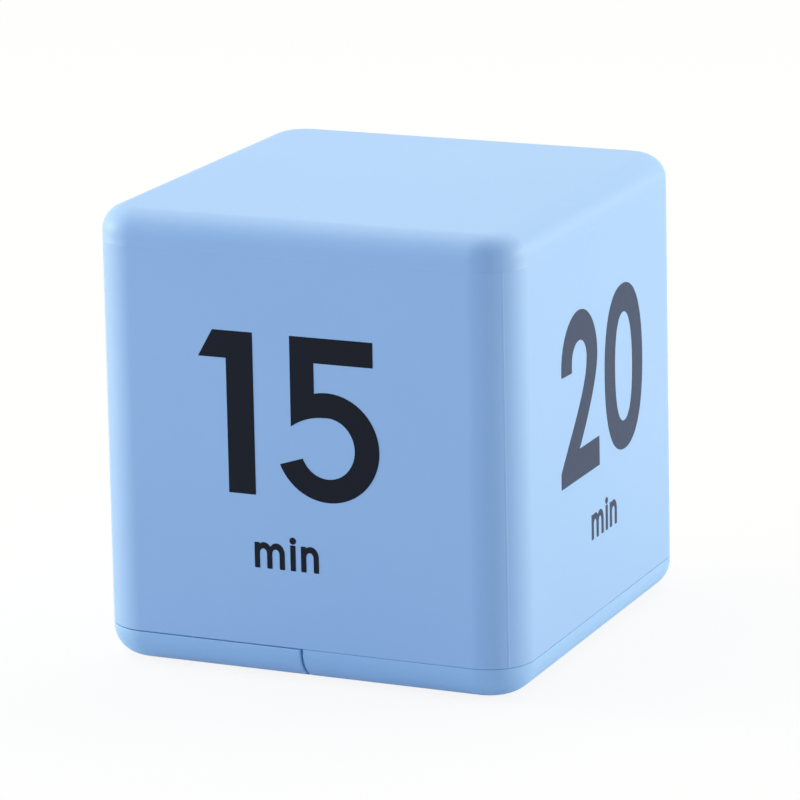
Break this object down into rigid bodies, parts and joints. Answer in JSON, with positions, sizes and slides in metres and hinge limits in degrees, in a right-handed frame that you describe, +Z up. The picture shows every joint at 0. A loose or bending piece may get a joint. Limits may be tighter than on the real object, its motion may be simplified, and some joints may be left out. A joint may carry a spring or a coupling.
{
  "type": "cube timer",
  "caption": "Countdown timer in the form of a small plastic cube, turned so that the wanted number of minutes faces up, with a display and a battery door in its base.",
  "frame": {"origin": "centre of the underside, on the surface that the cube stands on", "axes": "+Z up, -Y out of the front with 15 min, +X out of the right side with 20 min"},
  "size_m": [0.06, 0.061, 0.061],
  "materials": {
    "blue_plastic": "semi-gloss moulded ABS",
    "number_ink": "pad-printed ink",
    "cell_jacket": "printed cell jacket",
    "contact_nickel": "nickel-plated sheet",
    "spring_steel": "nickel-plated wire",
    "screw_steel": "zinc-plated",
    "window_plastic": "clear moulded window",
    "lamp_plug_plastic": "clear moulded plug",
    "lamp_resin": "diffused resin",
    "display_glass": "liquid crystal glass",
    "holder_plastic": "moulded",
    "connector_rubber": "silicone with carbon layers",
    "disc_brass": "rolled sheet",
    "ceramic": "silvered ceramic",
    "switch_wafer": "phenolic sheet with tinned pins",
    "switch_shell": "tinned steel",
    "switch_plastic": "moulded",
    "tilt_can_steel": "drawn can",
    "tilt_plug_plastic": "moulded, with tinned pins",
    "tilt_ball_steel": "polished ball",
    "circuit_board": "solder mask on glass-filled epoxy",
    "black_resin": "potting resin",
    "capacitor_sleeve": "sleeved can",
    "crystal_can": "drawn can",
    "black_wire": "PVC insulation",
    "red_wire": "PVC insulation"
  },
  "bodies": {
    "case": {"base_cover": "blue_plastic", "battery_1": "cell_jacket", "battery_2": "cell_jacket", "black_battery_wire": "black_wire", "black_sounder_wire": "black_wire", "board_screw_1": "screw_steel", "board_screw_2": "screw_steel", "board_screw_3": "screw_steel", "bridge_contact_plate": "contact_nickel", "bridge_contact_spring": "spring_steel", "capacitor": "capacitor_sleeve", "case_screw_1": "screw_steel", "case_screw_2": "screw_steel", "case_screw_3": "screw_steel", "case_screw_4": "screw_steel", "chip_blob": "black_resin", "crystal": "crystal_can", "digit_0_of_20": "number_ink", "digit_0_of_30": "number_ink", "digit_0_of_60": "number_ink", "digit_1_of_15": "number_ink", "digit_2_of_20": "number_ink", "digit_3_of_30": "number_ink", "digit_5_of_15": "number_ink", "digit_6_of_60": "number_ink", "display_window": "window_plastic", "housing": "blue_plastic", "lcd_glass": "display_glass", "lcd_holder": "holder_plastic", "led": "lamp_resin", "led_window": "lamp_plug_plastic", "main_board": "circuit_board", "negative_contact_plate": "contact_nickel", "negative_contact_spring": "spring_steel", "piezo_ceramic": "ceramic", "piezo_disc": "disc_brass", "positive_contact_plate": "contact_nickel", "red_battery_wire": "red_wire", "red_sounder_wire": "red_wire", "resistor_1": "black_resin", "resistor_2": "black_resin", "switch_base": "switch_wafer", "switch_frame": "switch_shell", "tilt_can_1": "tilt_can_steel", "tilt_can_2": "tilt_can_steel", "tilt_can_3": "tilt_can_steel", "tilt_can_4": "tilt_can_steel", "tilt_plug_1": "tilt_plug_plastic", "tilt_plug_2": "tilt_plug_plastic", "tilt_plug_3": "tilt_plug_plastic", "tilt_plug_4": "tilt_plug_plastic", "zebra_connector": "connector_rubber"},
    "battery_door": {"battery_door": "blue_plastic"},
    "volume_switch": {"switch_lever": "switch_plastic", "switch_knob": "switch_plastic"},
    "tilt_ball_1": {"tilt_ball_1": "tilt_ball_steel"},
    "tilt_ball_2": {"tilt_ball_2": "tilt_ball_steel"},
    "tilt_ball_3": {"tilt_ball_3": "tilt_ball_steel"},
    "tilt_ball_4": {"tilt_ball_4": "tilt_ball_steel"}
  },
  "joints": [
    {"name": "battery_door_slide", "type": "slide", "parent": "case", "child": "battery_door", "axis": [-1, 0, 0], "range_m": [0, 0.022]},
    {"name": "volume_slide", "type": "slide", "parent": "case", "child": "volume_switch", "axis": [0, 1, 0], "range_m": [0, 0.004]},
    {"name": "tilt_ball_1_roll", "type": "slide", "parent": "case", "child": "tilt_ball_1", "axis": [1, 0, 0], "range_m": [0, 0.0036]},
    {"name": "tilt_ball_2_roll", "type": "slide", "parent": "case", "child": "tilt_ball_2", "axis": [-1, 0, 0], "range_m": [0, 0.0036]},
    {"name": "tilt_ball_3_roll", "type": "slide", "parent": "case", "child": "tilt_ball_3", "axis": [0, -1, 0], "range_m": [0, 0.0036]},
    {"name": "tilt_ball_4_roll", "type": "slide", "parent": "case", "child": "tilt_ball_4", "axis": [0, 1, 0], "range_m": [0, 0.0036]}
  ]
}
